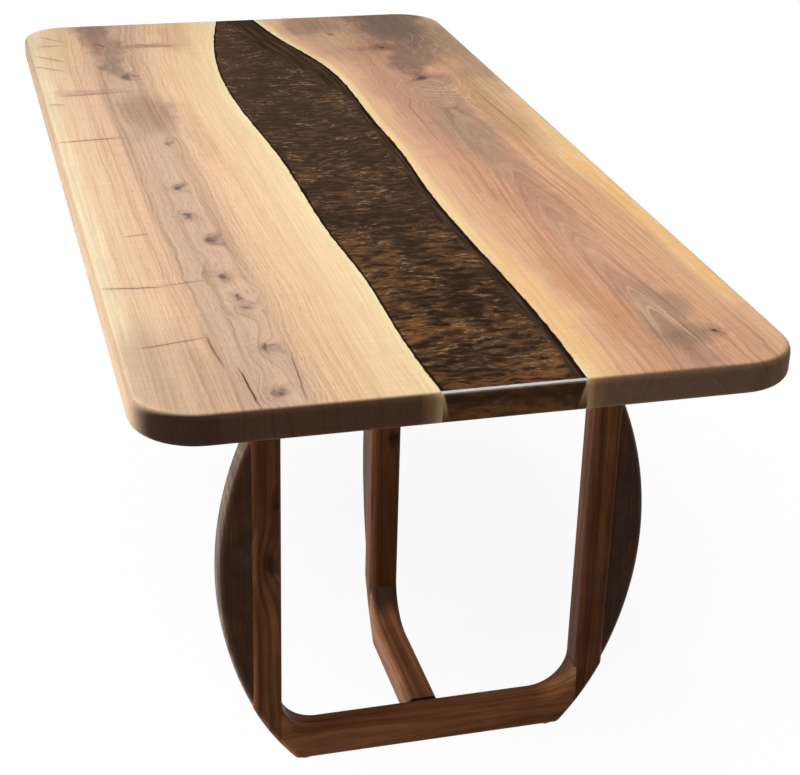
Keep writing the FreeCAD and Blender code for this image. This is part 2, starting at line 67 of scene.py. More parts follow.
def measure_banks():
    """X of the left and right live edges at even steps from the near end to the far end.

    The banks stand upright, so the river's lowest 2 cm tell their whole course.
    """
    river = node_object["resin_river"].data
    spots = np.array([vertex.co[:] for vertex in river.vertices])
    stations = np.linspace(-half_length, half_length, BANK_STEPS)
    middle = spots[:, 0].mean()
    banks = {}
    for side, chosen in (("left", spots[:, 0] < middle), ("right", spots[:, 0] > middle)):
        edge = spots[chosen & (spots[:, 2] < underside + LOW_BAND)]
        edge = edge[np.argsort(edge[:, 1])]
        banks[side] = np.interp(stations, edge[:, 1], edge[:, 0])
    return banks


banks = measure_banks()
for side, bank in banks.items():
    print(f"{side} live edge: x from {bank.min():.3f} to {bank.max():.3f}")

# %% [markdown]
# ## Recipes for materials
#
# Wood and resin could be pictures wrapped round the pieces, but a picture blurs close up and can't
# follow this table's own live edges. Here they are drawn by formulas, which have as much detail as the
# view asks for. Written as single nodes such formulas are long. So a small `Recipe` class adds the
# nodes, and a `Field`, a number that varies over the surface, can be added and multiplied with plain
# arithmetic signs.


# %% A field is a number that varies over the surface
class Field:
    """One output of a node, which arithmetic turns into further nodes."""

    def __init__(self, recipe, socket):
        self.recipe = recipe
        self.socket = socket

    def __add__(self, other):
        return self.recipe.math("ADD", self, other)

    def __sub__(self, other):
        return self.recipe.math("SUBTRACT", self, other)

    def __rsub__(self, other):
        return self.recipe.math("SUBTRACT", other, self)

    def __mul__(self, other):
        return self.recipe.math("MULTIPLY", self, other)

    def __truediv__(self, other):
        return self.recipe.math("DIVIDE", self, other)

    def __pow__(self, other):
        return self.recipe.math("POWER", self, other)

    def __abs__(self):
        return self.recipe.math("ABSOLUTE", self)


def colour(red, green, blue):
    """A colour in screen values from 0 to 255, as Blender's linear light."""
    def to_light(value):
        value /= 255
        return value / 12.92 if value <= 0.04045 else ((value + 0.055) / 1.055) ** 2.4
    return to_light(red), to_light(green), to_light(blue), 1.0


# %% A recipe adds nodes to one material
ENDLESS = math.inf
BANK_MARGIN = 0.01


class Recipe:
    """A material under construction."""

    def __init__(self, name):
        self.material = bpy.data.materials.new(name)
        self.material.use_nodes = True
        self.nodes = self.material.node_tree.nodes
        self.links = self.material.node_tree.links
        self.surface = self.nodes["Principled BSDF"]

    def add(self, kind, inputs, output=0, **settings):
        node = self.nodes.new("ShaderNode" + kind)
        for name, value in settings.items():
            setattr(node, name, value)
        for socket, value in inputs.items():
            self.feed(node.inputs[socket], value)
        return Field(self, node.outputs[output])

    def feed(self, socket, value):
        if isinstance(value, Field):
            self.links.new(value.socket, socket)
        else:
            socket.default_value = value

    def math(self, operation, first, second=0.0):
        return self.add("Math", {0: first, 1: second}, operation=operation)

    def vector(self, operation, first, second, output="Vector"):
        return self.add("VectorMath", {0: first, 1: second}, output=output, operation=operation)

    def split(self, output):
        """A Texture Coordinate, such as the place or the way a face points, and its three parts."""
        source = self.add("TexCoord", {}, output=output)
        parts = self.nodes.new("ShaderNodeSeparateXYZ")
        self.links.new(source.socket, parts.inputs[0])
        return source, [Field(self, parts.outputs[axis]) for axis in range(3)]

    def place(self):
        """X, Y and Z in metres, in the table's own frame. Their vector is kept as the recipe's spot."""
        self.spot, axes = self.split("Object")
        return axes

    def facing(self):
        """How much a face points along each axis, whichever way round: 0 to 1."""
        return [abs(part) for part in self.split("Normal")[1]]

    def point(self, x, y, z=0.0):
        return self.add("CombineXYZ", {0: x, 1: y, 2: z})

    def scaled(self, spot, counts):
        """A spot with each axis multiplied, so that a noise has about that many waves in a metre of it."""
        return self.vector("MULTIPLY", spot, counts)

    def noise(self, spot, scale=1.0, detail=2.0, roughness=0.5, output="Fac"):
        """Cloudy noise around 0.5."""
        inputs = {"Vector": spot, "Scale": scale, "Detail": detail, "Roughness": roughness}
        return self.add("TexNoise", inputs, output=output)

    def uneven(self, spot, scale, reach):
        """The same spot pushed about by up to half a reach, which makes what is drawn there ragged."""
        push = self.vector("SUBTRACT", self.noise(spot, scale, output="Color"), (0.5, 0.5, 0.5))
        return self.vector("ADD", spot, self.scaled(push, (reach, reach, reach)))

    def stretch(self, value, low, high, to_low=0.0, to_high=1.0, smooth=True):
        """Takes a value between low and high to a value between to_low and to_high, and clamps it."""
        inputs = {"Value": value, "From Min": low, "From Max": high, "To Min": to_low, "To Max": to_high}
        kind = "SMOOTHSTEP" if smooth else "LINEAR"
        return self.add("MapRange", inputs, interpolation_type=kind)

    def hump(self, spot, centre, spread):
        """1 at a centre, falling softly to 0 around it. An axis with an endless spread doesn't count."""
        offset = self.vector("SUBTRACT", spot, centre)
        offset = self.scaled(offset, tuple(1 / reach for reach in spread))
        square = self.vector("DOT_PRODUCT", offset, offset, output="Value")
        return self.math("EXPONENT", square * -1.0)

    def patch(self, spot, centre, spread):
        """A hump around an X and Y on the table top, the same all the way down."""
        return self.hump(spot, (*centre, top_level), (*spread, ENDLESS))

    def total(self, fields):
        result = fields[0]
        for field in fields[1:]:
            result = result + field
        return result

    def bank(self, y, side):
        """X of a live edge at any y."""
        bank = banks[side]
        low, high = bank.min() - BANK_MARGIN, bank.max() + BANK_MARGIN
        along = (y + half_length) / (2 * half_length)
        node = self.nodes.new("ShaderNodeFloatCurve")
        curve = node.mapping.curves[0]
        heights = (bank - low) / (high - low)
        for step, height in enumerate(heights):
            at = step / (len(heights) - 1)
            if step in (0, len(heights) - 1):
                curve.points[0 if step == 0 else -1].location = (at, height)
            else:
                curve.points.new(at, height)
        node.mapping.update()
        self.links.new(along.socket, node.inputs["Value"])
        return Field(self, node.outputs[0]) * float(high - low) + float(low)

    def ramp(self, value, stops):
        """Colours along a value, as {position: colour}."""
        node = self.nodes.new("ShaderNodeValToRGB")
        self.links.new(value.socket, node.inputs["Fac"])
        elements = node.color_ramp.elements
        while len(elements) < len(stops):
            elements.new(0.5)
        for element, (position, shade) in zip(elements, sorted(stops.items())):
            element.position = position
            element.color = shade
        return Field(self, node.outputs["Color"])

    def mix(self, factor, first, second, blend="MIX"):
        """Blends two colours."""
        node = self.nodes.new("ShaderNodeMix")
        node.data_type = "RGBA"
        node.blend_type = blend
        self.feed(node.inputs["Factor"], factor)
        self.feed(node.inputs[6], first)
        self.feed(node.inputs[7], second)
        return Field(self, node.outputs[2])

    def shade(self, tint, amount):
        """Makes a colour lighter or darker by a number that varies."""
        grey = self.add("CombineColor", {0: amount, 1: amount, 2: amount})
        return self.mix(1.0, tint, grey, blend="MULTIPLY")

    def relief(self, height, depth):
        """Lets light catch a pattern whose height runs from 0 to 1. depth is in metres."""
        return self.add("Bump", {"Strength": 1.0, "Distance": depth, "Height": height}, output="Normal")

    def finish(self, **sockets):
        for name, value in sockets.items():
            self.feed(self.surface.inputs[name.replace("_", " ")], value)
        return self.material


def dress(names, material):
    """Gives a material to pieces of the frame."""
    for name in names:
        node_object[name].data.materials.clear()
        node_object[name].data.materials.append(material)
    print(f"{material.name}: {len(names)} pieces")


# %% [markdown]
# ## Walnut slabs
#
# A tree grows in rings, and a slab is a cut through them. So the wood here starts with a tree: the
# distance from its heart. The right slab runs past the heart, so its rings open into long pointed
# arches. The left slab was sawn further out, where the rings are nearly straight lines. Every knot is a
# hump in that distance, so the rings flow round it.
#
# The colour depends on how far a spot is from the live edge: cream sapwood, golden wood, then grey-brown
# heartwood. Clouds are patches of another colour, mostly darker, where the tree had a branch or an old
# wound. `across` runs from 0 at the live edge to 1 at the straight outer edge, and every place is given in
# metres from the table's middle.
#
# Each slab is described in a dictionary, and one set of functions draws both. The right slab's
# dictionary uses the same words as the left one's, which are explained there.

# %% Describe the left slab
LEFT_SLAB = {
    "side": "left",
    "straight": True,  # the lines part before a knot and close behind it
    "line_depth": 0.13,  # how dark the thin lines are
    "narrowing": 0.0,  # how far the colours move towards the river in the far half
    "heart": 1.60,  # where the heart of the tree was, on the scale of across
    "heart_depth": 0.050,  # how far under the top it was at the near end
    "deepening": 0.0,  # how much deeper it lay for each metre along the table
    "point": 2.0,  # 2 gives round arches, less gives pointed ones
    "ring_pitch": 0.0064,  # about the distance from ring to ring
    "wander": 0.022,  # how far the rings stray
    "zones": {  # the colour at each across
        0.000: colour(250, 234, 196),
        0.022: colour(249, 226, 176),
        0.060: colour(247, 216, 170),
        0.180: colour(247, 210, 168),
        0.310: colour(244, 205, 167),
        0.355: colour(240, 202, 168),
        0.430: colour(222, 188, 160),
        0.560: colour(217, 185, 159),
        0.670: colour(219, 185, 158),
        0.715: colour(238, 197, 165),
        0.830: colour(243, 207, 173),
        0.915: colour(243, 210, 172),
        0.945: colour(249, 228, 190),
        1.000: colour(247, 227, 190),
    },
    "clouds": [  # a depth of 1 hides what lies under a cloud
        {"at": (-0.352, 0.990), "spread": (0.052, 0.120), "tint": colour(160, 131, 115), "depth": 0.90},
        {"at": (-0.338, 0.850), "spread": (0.056, 0.110), "tint": colour(176, 142, 124), "depth": 0.85},
        {"at": (-0.316, 0.700), "spread": (0.032, 0.110), "tint": colour(164, 138, 122), "depth": 0.85},
        {"at": (-0.235, 0.850), "spread": (0.100, 0.024), "tint": colour(190, 144, 124), "depth": 0.70},
        {"at": (-0.375, 0.500), "spread": (0.100, 0.020), "tint": colour(202, 162, 146), "depth": 0.60},
        {"at": (-0.304, 0.330), "spread": (0.070, 0.170), "tint": colour(190, 157, 133), "depth": 0.90},
        {"at": (-0.440, 0.860), "spread": (0.055, 0.170), "tint": colour(234, 200, 160), "depth": 0.60},
        {"at": (-0.225, 0.180), "spread": (0.028, 0.280), "tint": colour(222, 184, 152), "depth": 0.60},
        {"at": (-0.155, 0.920), "spread": (0.055, 0.190), "tint": colour(216, 172, 140), "depth": 0.50},
        {"at": (-0.430, -0.920), "spread": (0.100, 0.220), "tint": colour(212, 180, 150), "depth": 0.70},
    ],
    "knots": [  # x, y and size
        (-0.308, 0.600, 0.024), (-0.287, 0.125, 0.016), (-0.305, -0.130, 0.019), (-0.306, -0.280, 0.021),
        (-0.288, -0.398, 0.024), (-0.302, -0.565, 0.027), (-0.288, -0.645, 0.012), (-0.285, -0.697, 0.024),
        (-0.280, -0.850, 0.021), (-0.292, -1.000, 0.021), (-0.338, 0.865, 0.010),
    ],
    "knot_tint": colour(104, 88, 84),
    "knot_core": 0.70,  # how strong the dark middle of a knot is
    "contours": [],  # centre, spread and strength
    "ripples": [  # what they run round, how many in a metre, then their centre, spread and strength
        ((-0.300, 0.640), 70.0, (-0.290, 0.530), (0.060, 0.100), 0.30),
    ],
    "pale_tint": colour(236, 212, 184),
    "figure": {  # what the broad bands of the rings do to the colour
        0.30: colour(228, 220, 214), 0.42: colour(244, 239, 233), 0.54: colour(254, 253, 252),
        0.66: colour(252, 243, 236), 0.76: colour(255, 255, 255),
    },
    "swirls": [  # centre, spread and strength
        ((-0.30, 0.75), (0.08, 0.22), 0.040), ((-0.29, -0.60), (0.03, 0.12), 0.016),
    ],
    "checks": [  # an angle of 0 runs straight across the table; reach is half the length
        {"at": (-0.430, 0.172), "angle": 5, "reach": 0.090, "width": 0.0036, "depth": 0.60},
        {"at": (-0.401, 0.479), "angle": 4, "reach": 0.080, "width": 0.0044, "depth": 0.50},
        {"at": (-0.474, 0.417), "angle": -10, "reach": 0.020, "width": 0.0034, "depth": 0.50},
        {"at": (-0.448, 0.874), "angle": 7, "reach": 0.034, "width": 0.0040, "depth": 0.45},
        {"at": (-0.457, 0.766), "angle": -44, "reach": 0.060, "width": 0.0034, "depth": 0.45},
        {"at": (-0.470, 0.690), "angle": -40, "reach": 0.055, "width": 0.0034, "depth": 0.42},
        {"at": (-0.440, 0.930), "angle": -48, "reach": 0.050, "width": 0.0032, "depth": 0.38},
        {"at": (-0.213, 0.839), "angle": -22, "reach": 0.060, "width": 0.0034, "depth": 0.40},
        {"at": (-0.445, -0.585), "angle": -7, "reach": 0.062, "width": 0.0030, "depth": 0.62},
        {"at": (-0.366, -0.580), "angle": 8, "reach": 0.055, "width": 0.0026, "depth": 0.40},
        {"at": (-0.413, -0.804), "angle": 12, "reach": 0.070, "width": 0.0026, "depth": 0.50},
        {"at": (-0.409, -0.357), "angle": 12, "reach": 0.028, "width": 0.0028, "depth": 0.45},
        {"at": (-0.330, -0.975), "angle": -87, "reach": 0.085, "width": 0.0022, "depth": 0.80},
        {"at": (-0.358, -0.843), "angle": -86, "reach": 0.075, "width": 0.0026, "depth": 0.55},
        {"at": (-0.255, -0.953), "angle": -94, "reach": 0.105, "width": 0.0022, "depth": 0.50},
    ],
    # the sawn end at the river, in the middle and at the outer corner
    "end_tints": (colour(190, 160, 116), colour(90, 66, 52), colour(52, 38, 30)),
}

# %% Describe the right slab
RIGHT_SLAB = {
    "side": "right",
    "straight": False,
    "line_depth": 0.15,
    "narrowing": 0.075,
    "heart": 0.51,
    "heart_depth": 0.060,
    "deepening": 0.046,
    "point": 1.75,
    "ring_pitch": 0.0100,
    "wander": 0.034,
    "zones": {
        0.000: colour(248, 232, 190),
        0.020: colour(247, 218, 166),
        0.060: colour(243, 208, 157),
        0.105: colour(230, 188, 149),
        0.190: colour(226, 181, 145),
        0.330: colour(220, 172, 143),
        0.480: colour(207, 166, 142),
        0.640: colour(222, 176, 148),
        0.780: colour(226, 179, 146),
        0.850: colour(224, 184, 144),
        0.895: colour(240, 203, 153),
        1.000: colour(242, 207, 160),
    },
    "clouds": [
        {"at": (0.250, 0.900), "spread": (0.160, 0.330), "tint": colour(184, 150, 126), "depth": 0.80},
        {"at": (0.385, 0.940), "spread": (0.135, 0.230), "tint": colour(122, 101, 90), "depth": 0.92},
        {"at": (0.400, 0.720), "spread": (0.115, 0.130), "tint": colour(142, 117, 103), "depth": 0.85},
        {"at": (0.205, 0.815), "spread": (0.055, 0.100), "tint": colour(212, 174, 136), "depth": 0.70},
        {"at": (0.290, 0.735), "spread": (0.080, 0.040), "tint": colour(156, 116, 104), "depth": 0.75},
        {"at": (0.325, 0.600), "spread": (0.045, 0.130), "tint": colour(150, 118, 106), "depth": 0.80},
        {"at": (0.170, 0.960), "spread": (0.070, 0.090), "tint": colour(160, 128, 110), "depth": 0.70},
        {"at": (0.360, 0.610), "spread": (0.075, 0.075), "tint": colour(146, 124, 110), "depth": 0.75},
        {"at": (0.320, 0.150), "spread": (0.072, 0.400), "tint": colour(180, 152, 130), "depth": 0.85},
        {"at": (0.240, 0.350), "spread": (0.060, 0.500), "tint": colour(194, 154, 128), "depth": 0.65},
        {"at": (0.485, 0.680), "spread": (0.070, 0.330), "tint": colour(176, 145, 121), "depth": 0.85},
        {"at": (0.430, 0.300), "spread": (0.060, 0.400), "tint": colour(190, 154, 124), "depth": 0.60},
        {"at": (0.350, 0.470), "spread": (0.055, 0.060), "tint": colour(178, 150, 128), "depth": 0.70},
        {"at": (0.340, -0.870), "spread": (0.044, 0.190), "tint": colour(174, 143, 122), "depth": 0.75},
        {"at": (0.362, -0.925), "spread": (0.055, 0.045), "tint": colour(160, 134, 116), "depth": 0.65},
        {"at": (0.165, -0.780), "spread": (0.050, 0.320), "tint": colour(242, 198, 144), "depth": 0.75},
        {"at": (0.475, -0.420), "spread": (0.026, 0.480), "tint": colour(240, 190, 132), "depth": 0.65},
        {"at": (0.262, -0.740), "spread": (0.036, 0.260), "tint": colour(208, 154, 122), "depth": 0.62},
        {"at": (0.255, -0.150), "spread": (0.030, 0.250), "tint": colour(204, 156, 128), "depth": 0.50},
        {"at": (0.325, -0.300), "spread": (0.040, 0.250), "tint": colour(188, 150, 126), "depth": 0.60},
        {"at": (0.460, -0.930), "spread": (0.070, 0.150), "tint": colour(214, 168, 142), "depth": 0.60},
    ],
    "knots": [(0.210, 0.875, 0.012), (0.297, 0.740, 0.018), (0.318, 0.480, 0.025), (0.396, -0.924, 0.015)],
    "knot_tint": colour(84, 66, 62),
    "knot_core": 1.15,
    "contours": [
        ((0.335, -0.840), (0.050, 0.180), 0.42), ((0.330, -0.200), (0.060, 0.450), 0.16),
        ((0.440, 0.280), (0.040, 0.280), 0.40),
    ],
    "ripples": [
        ((0.325, 0.580), 52.0, (0.345, 0.385), (0.085, 0.115), 0.60),
        ((0.260, 0.820), 40.0, (0.420, 0.740), (0.080, 0.170), 0.40),
        ((0.420, -0.900), 80.0, (0.375, -0.900), (0.050, 0.070), 0.34),
    ],
    "pale_tint": colour(232, 202, 168),
    "figure": {
        0.28: colour(206, 195, 189), 0.38: colour(229, 219, 211), 0.45: colour(254, 249, 239),
        0.50: colour(236, 225, 216), 0.58: colour(254, 248, 236), 0.66: colour(247, 234, 222),
        0.74: colour(255, 254, 246),
    },
    "swirls": [
        ((0.320, 0.440), (0.090, 0.160), 0.065),
        ((0.350, 0.850), (0.160, 0.240), 0.045),
        ((0.430, -0.960), (0.080, 0.080), 0.024),
    ],
    "checks": [],
    "end_tints": (colour(190, 160, 116), colour(116, 92, 73), colour(152, 118, 94)),
}

# %% [markdown]
# At the sawn ends the open fibres have soaked up oil and turned dark.


# %% The rings of the tree
SLAB_BREADTH = 0.40  # roughly, since the live edges make it vary
SHORT_WANDER = 0.010


def draw_rings(wood, slab, across, x, y, z):
    """Distance from the tree's heart in metres: first without the knots, then bent round them."""
    spot = wood.spot
    sideways = abs(across - slab["heart"]) * SLAB_BREADTH
    depth = abs(z - top_level + slab["heart_depth"] + (y + half_length) * slab["deepening"])
    point = slab["point"]
    rings = (sideways ** point + depth ** point) ** (1 / point)
    rings = rings + (wood.noise(wood.scaled(spot, (3.0, 1.1, 1.5)), detail=3.0) - 0.5) * slab["wander"]
    rings = rings + (wood.noise(wood.scaled(spot, (14.0, 3.6, 5.0))) - 0.5) * SHORT_WANDER
    churn = wood.noise(wood.uneven(spot, 9.0, 0.05), 13.0, detail=1.0) - 0.5
    for centre, spread, strength in slab["swirls"]:
        rings = rings + churn * wood.patch(spot, centre, spread) * strength
    bent = rings
    ragged = wood.uneven(spot, 22.0, 0.034)
    for knot_x, knot_y, size in slab["knots"]:
        centre = (knot_x, knot_y)
        if slab["straight"]:
            flow = wood.patch(ragged, centre, (size * 2.2, size * 3.4))
            bent = bent - (x - knot_x) * flow * 0.70
        bent = bent + wood.patch(ragged, centre, (size * 1.1, size * 2.0)) * (size * 0.6)
    return rings, bent


# %% The grain, from broad bands to single pores
FIBRES_PER_METRE = (420.0, 7.0, 420.0)
PORES_PER_METRE = (800.0, 34.0, 800.0)
SAW_MARKS_PER_METRE = (9.0, 260.0, 30.0)


def draw_grain(wood, slab, rings, bent, y, z):
    """Seven patterns, each a noise around 0.5. Bands, lines, hairs and contours follow the rings."""
    calm_turns = rings / slab["ring_pitch"]
    turns = bent / slab["ring_pitch"]
    spot = wood.spot
    return {
        "bands": wood.noise(wood.point(calm_turns * 0.42, y * 0.6, z * 2.0), detail=3.0, roughness=0.6),
        "lines": wood.noise(wood.point(turns * 1.9, y * 1.6, z * 6.0), detail=3.0, roughness=0.7),
        "hairs": wood.noise(wood.point(turns * 6.5, y * 5.0, z * 60.0), detail=2.0, roughness=0.7),
        "fibres": wood.noise(wood.scaled(spot, FIBRES_PER_METRE), detail=3.0, roughness=0.75),
        "pores": wood.noise(wood.scaled(spot, PORES_PER_METRE), detail=1.0),
        "saw marks": wood.noise(wood.scaled(spot, SAW_MARKS_PER_METRE), detail=1.0),
        "contours": wood.noise(wood.point(calm_turns * 0.85, y * 0.7, z * 2.0), detail=1.5),
    }


def grain_light(wood, slab, grain, heartwood):
    """How much the grain lightens or darkens a spot: about 1. It is strongest in the heartwood."""
    lines, depth = grain["lines"], slab["line_depth"]
    light = wood.stretch(grain["hairs"], 0.25, 0.75, 0.90, 1.07)
    light = light * (1.0 - wood.stretch(lines, 0.47, 0.33) * (heartwood * depth + 0.05))
    light = light + wood.stretch(lines, 0.57, 0.68) * (heartwood * depth * 0.5 + 0.01)
    light = light * wood.stretch(grain["fibres"], 0.25, 0.80, 0.90, 1.07)
    light = light * wood.stretch(grain["saw marks"], 0.3, 0.7, 0.975, 1.015)
    return light * (1.0 - wood.stretch(grain["pores"], 0.38, 0.24) * (heartwood * 0.30 + 0.10))


# %% Thin pale lines
def draw_pale_lines(wood, slab, grain):
    """Ripples beside the knots, and contours that follow the rings. 0 to 1."""
    spot = wood.spot
    drift = wood.noise(wood.scaled(spot, (9.0, 4.5, 8.0)), detail=3.0) - 0.5
    shares = []
    for around, count, centre, spread, strength in slab["ripples"]:
        offset = wood.scaled(wood.vector("SUBTRACT", spot, (*around, 0.0)), (1.0, 0.55, 0.0))
        reach = wood.vector("LENGTH", offset, (0.0, 0.0, 0.0), output="Value") + drift * 0.150
        phase = abs(wood.math("FRACT", reach * count) - 0.5)
        shares.append(wood.stretch(phase, 0.0, 0.22, 1.0, 0.0) * wood.patch(spot, centre, spread) * strength)
    pale = wood.total(shares) * wood.stretch(grain["fibres"], 0.30, 0.70, 0.5, 1.0)
    contour = wood.stretch(abs(grain["contours"] - 0.5), 0.0, 0.030, 1.0, 0.0)
    for centre, spread, strength in slab["contours"]:
        pale = pale + contour * wood.patch(spot, centre, spread) * strength
    return wood.stretch(pale, 0.0, 1.0)


# %% Knots and checks
CHECK_TINT = colour(84, 58, 44)


def draw_knots(wood, slab, lines):
    """How dark the knots make a spot, from 0 to 1. Their outlines are ragged, with trails along the grain."""
    ragged = wood.uneven(wood.uneven(wood.spot, 24.0, 0.040), 90.0, 0.016)
    layers = []
    for knot_x, knot_y, size in slab["knots"]:
        centre = (knot_x, knot_y)
        layers.append(wood.patch(ragged, centre, (size * 0.30, size * 0.46)) * slab["knot_core"])
        layers.append(wood.patch(ragged, centre, (size * 1.10, size * 1.7)) * 0.66)
    streaks = wood.stretch(lines, 0.36, 0.62, 1.12, 0.72)
    return wood.stretch(wood.total(layers) * streaks, 0.06, 1.25, 0.0, 0.90)


def draw_checks(wood, slab, x, y):
    """The fine cracks that open when a slab dries: each is a thin line that fades at both ends."""
    ripple = (wood.noise(wood.spot, 22.0, detail=4.0) - 0.5) * 0.008
    worst = 0.0
    for check in slab["checks"]:
        turn = math.radians(check["angle"])
        to_x, to_y = x - check["at"][0], y - check["at"][1]
        along = to_x * math.cos(turn) + to_y * math.sin(turn)
        aside = abs(to_y * math.cos(turn) - to_x * math.sin(turn) + ripple)
        width = check["width"]
        ends = wood.stretch(abs(along), check["reach"] * 0.35, check["reach"], 1.0, 0.0)
        core = wood.stretch(aside, width * 0.2, width, 1.0, 0.0)
        stain = wood.stretch(aside, 0.0, width * 4, 0.22, 0.0)
        worst = wood.math("MAXIMUM", worst, (core + stain) * ends * check["depth"])
    return worst


# %% The broad colours
def draw_colours(wood, slab, across, y, grain):
    """Zones across the slab, with the clouds laid over them. Rings and fibres make every border streaky."""
    spot = wood.spot
    bands, lines = grain["bands"] - 0.5, grain["lines"] - 0.5
    drift = wood.noise(wood.scaled(spot, (5.0, 1.3, 3.0)), detail=3.0) - 0.5
    past_middle = wood.stretch(y, -0.35, 0.05, 0.0, slab["narrowing"])
    across = across + past_middle * wood.stretch(across, 0.015, 0.085)
    tint = wood.ramp(across + bands * 0.07 + lines * 0.05 + drift * 0.10, slab["zones"])
    frayed = wood.uneven(wood.uneven(spot, 7.0, 0.10), 30.0, 0.030)
    tufts = wood.noise(wood.scaled(spot, (34.0, 9.0, 9.0)), detail=4.0, roughness=0.6) - 0.5
    loose = (tufts + bands * 0.45 + lines * 0.30) * 0.55
    for cloud in slab["clouds"]:
        shape = wood.patch(frayed, cloud["at"], cloud["spread"])
        tint = wood.mix(wood.stretch(shape + loose, 0.22, 0.82, 0.0, cloud["depth"]), tint, cloud["tint"])
    return tint


# %% The live edge and the sawn faces
NIBBLE_TINT = colour(50, 36, 27)
LONG_EDGE_TINT = colour(182, 152, 124)
END_SAPWOOD_TINT = colour(140, 108, 78)


def nibble_edge(wood, tint, from_river, x, y, z):
    """The live edge is nibbled, and the resin in each nibble looks dark."""
    bites = wood.noise(wood.point(x * 12.0, y * 34.0, z * 8.0), detail=4.0, roughness=0.6)
    bite = bites * 0.008 - 0.0036
    return wood.mix(wood.stretch(from_river - bite, -0.0008, 0.0012, 0.9, 0.0), tint, NIBBLE_TINT)


def darken_faces(wood, slab, tint, light, from_river):
    """The long edge is drawn browner. The sawn end is dark, with pale sapwood next to the river."""
    pale, middle, corner = slab["end_tints"]
    end_tint = wood.ramp(
        wood.stretch(from_river, 0.0, 0.40, smooth=False),
        {0.0: pale, 0.03: END_SAPWOOD_TINT, 0.08: middle, 0.70: middle, 0.95: corner},
    )
    side_face, end_face, _ = wood.facing()
    long_edge = wood.stretch(side_face, 0.15, 0.75, 0.0, 0.85)
    tint = wood.mix(long_edge, tint, wood.shade(LONG_EDGE_TINT, light))
    return wood.mix(wood.stretch(end_face, 0.12, 0.66), tint, wood.shade(end_tint, light))


# %% Put the wood of a slab together
def slab_wood(slab):
    wood = Recipe(f"walnut_slab_{slab['side']}")
    x, y, z = wood.place()
    outward = {"left": -1.0, "right": 1.0}[slab["side"]]
    bank = wood.bank(y, slab["side"])
    from_river = (x - bank) * outward
    across = from_river / (half_width - bank * outward)
    heartwood = wood.stretch(across, 0.10, 0.40) * wood.stretch(across, 0.72, 0.95, 1.0, 0.25)

    grain = draw_grain(wood, slab, *draw_rings(wood, slab, across, x, y, z), y, z)
    tint = draw_colours(wood, slab, across, y, grain)
    figure = wood.ramp(grain["bands"] + (grain["lines"] - 0.5) * 0.25, slab["figure"])
    tint = wood.mix(heartwood * 0.75 + 0.25, tint, wood.mix(1.0, tint, figure, blend="MULTIPLY"))
    light = grain_light(wood, slab, grain, heartwood)
    tint = wood.shade(tint, light)
    tint = wood.mix(draw_pale_lines(wood, slab, grain), tint, slab["pale_tint"])
    tint = wood.mix(draw_knots(wood, slab, grain["lines"]), tint, slab["knot_tint"])
    tint = wood.mix(draw_checks(wood, slab, x, y), tint, CHECK_TINT)
    tint = nibble_edge(wood, tint, from_river, x, y, z)
    tint = darken_faces(wood, slab, tint, light, from_river)

    height = grain["lines"] * 0.4 + grain["fibres"] * 0.4 + grain["pores"] * 0.2
    rough = wood.stretch(grain["lines"], 0.3, 0.7, 0.48, 0.38)
    return wood.finish(
        Base_Color=tint, Roughness=rough, Specular_IOR_Level=0.006, Normal=wood.relief(height, 0.00010)
    )


for slab in (LEFT_SLAB, RIGHT_SLAB):
    dress([f"slab_{slab['side']}"], slab_wood(slab))

# %% [markdown]
# ## The resin river
# The crests are partly the powder's pale colour and partly a painted sheen of its pearl flakes.
#
# Pearl powder in cast resin drifts into thin bright folds while the resin is still liquid. Real powder
# would be millions of flakes inside a clear solid, far too many to model, and all that shows of it is a
# pattern close under the surface. So the folds are drawn as a noise squeezed along the river, which makes
# them lie across it as wavy ripples, and its coordinates are themselves pushed about, so that they curl.
# Along the right bank the resin lies over a sloping live edge with no powder in it, and stays dark.


# %% Measure the river
def measure_river(resin):
    """Where a spot lies in the river, and two slow drifts that vary every layer of colour."""
    x, y, z = resin.place()
    return {
        "y": y,
        "down": top_level - z,
        "from_left": x - resin.bank(y, "left"),
        "from_right": resin.bank(y, "right") - x,
        "nearness": resin.stretch(y, -half_length, half_length * 0.6, 1.0, 0.0),
        "wide": resin.noise(resin.spot, 5.0, detail=3.0),
        "patches": resin.noise(resin.spot, 13.0, detail=3.0),
    }


# %% Draw the pearl powder
HOLLOW_TO_FOLD = {
    0.34: colour(38, 27, 19), 0.46: colour(54, 39, 28), 0.55: colour(72, 51, 36),
    0.65: colour(92, 64, 42), 0.80: colour(122, 84, 50),
}
BROWN_SIDE_TINT = colour(104, 70, 46)
GOLD_TINT = colour(134, 88, 48)
# A greyer tint, strongest towards the far end: a painted reflection of the room.
FAR_REFLECTION_TINT = colour(76, 62, 50)
# The crests' tint: the powder's pale colour with a painted sheen of the pearl flakes.
CREST_SHEEN_TINT = colour(196, 160, 120)


